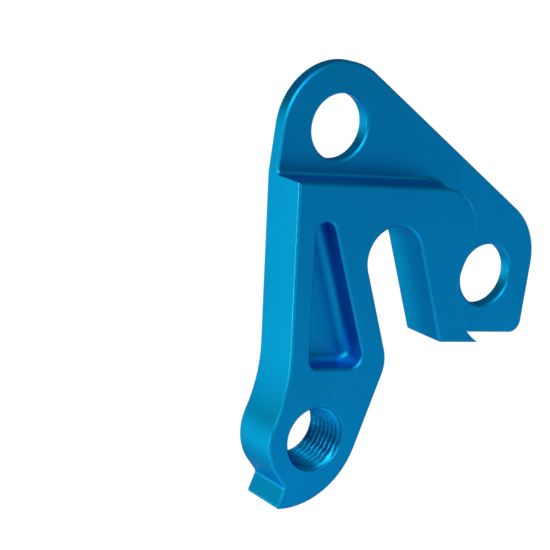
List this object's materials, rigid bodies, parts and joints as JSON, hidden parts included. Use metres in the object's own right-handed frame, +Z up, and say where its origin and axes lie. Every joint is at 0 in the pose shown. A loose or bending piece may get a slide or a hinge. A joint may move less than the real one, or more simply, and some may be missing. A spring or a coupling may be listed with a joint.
{
  "type": "bicycle dropout",
  "caption": "Drive-side rear dropout plate for a bicycle frame: thin bolt-on flange, thick body with an open axle slot, tapered pocket and a derailleur hanger with threaded hole and stop tab.",
  "frame": {"origin": "centre of the rear axle in the closed end of the slot, midway through the plate's thickness", "axes": "+X forward along the bicycle, +Z up, -Y out of the outer face that shows the step and the pocket, +Y inwards to the wheel"},
  "size_m": [0.0534, 0.0086, 0.0673],
  "materials": {
    "blue_anodised_aluminium": "bead-blasted and anodised blue, satin"
  },
  "bodies": {
    "root": {"dropout": "blue_anodised_aluminium"}
  },
  "joints": []
}
